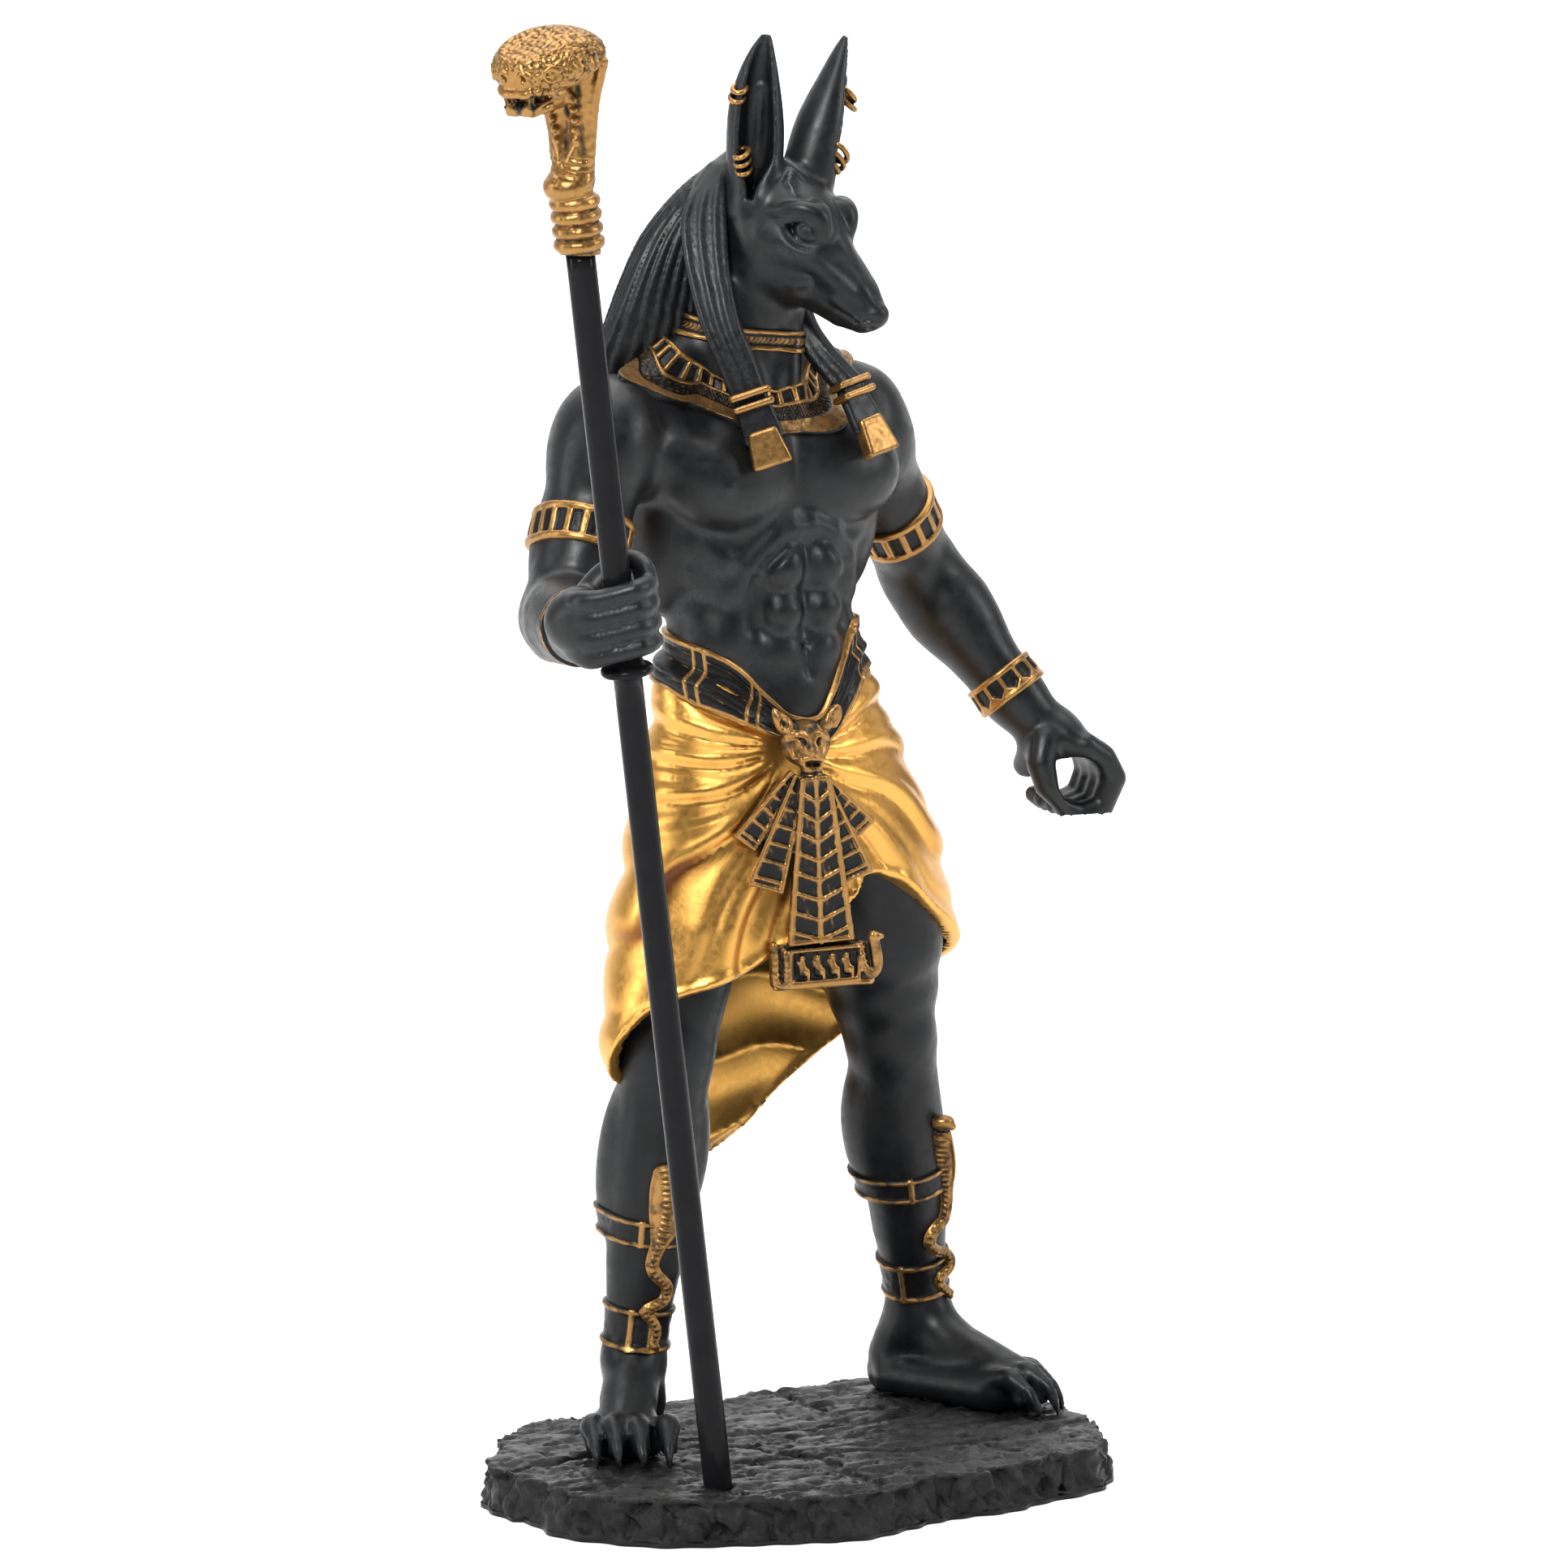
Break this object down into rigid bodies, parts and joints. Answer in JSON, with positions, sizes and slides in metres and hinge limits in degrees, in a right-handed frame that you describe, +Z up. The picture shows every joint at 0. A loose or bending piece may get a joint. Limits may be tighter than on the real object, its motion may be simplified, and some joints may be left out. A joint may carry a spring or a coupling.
{
  "type": "anubis statue",
  "caption": "Standing jackal-headed guardian figure in a knotted kilt, one fist round a tall cobra-topped staff, the other fist open along its grip, on a broken flagstone base.",
  "frame": {"origin": "on the underside of the flagstone base, near its middle, where it meets the shelf", "axes": "+Z up, -Y to the statue's front, +X to the figure's left"},
  "size_m": [0.1881, 0.1026, 0.2957],
  "materials": {
    "stone": "cold-cast resin painted as dark grey flagstone, dry-brushed lighter on its edges",
    "body": "cold-cast resin, satin black with antique gold kilt and ornaments",
    "lacquer": "smooth semi-gloss black",
    "gold": "cold-cast resin painted antique gold, darker in its scales"
  },
  "bodies": {
    "root": {"base": "stone", "figure": "body", "staff_shaft": "lacquer", "staff_finial": "gold"}
  },
  "joints": []
}
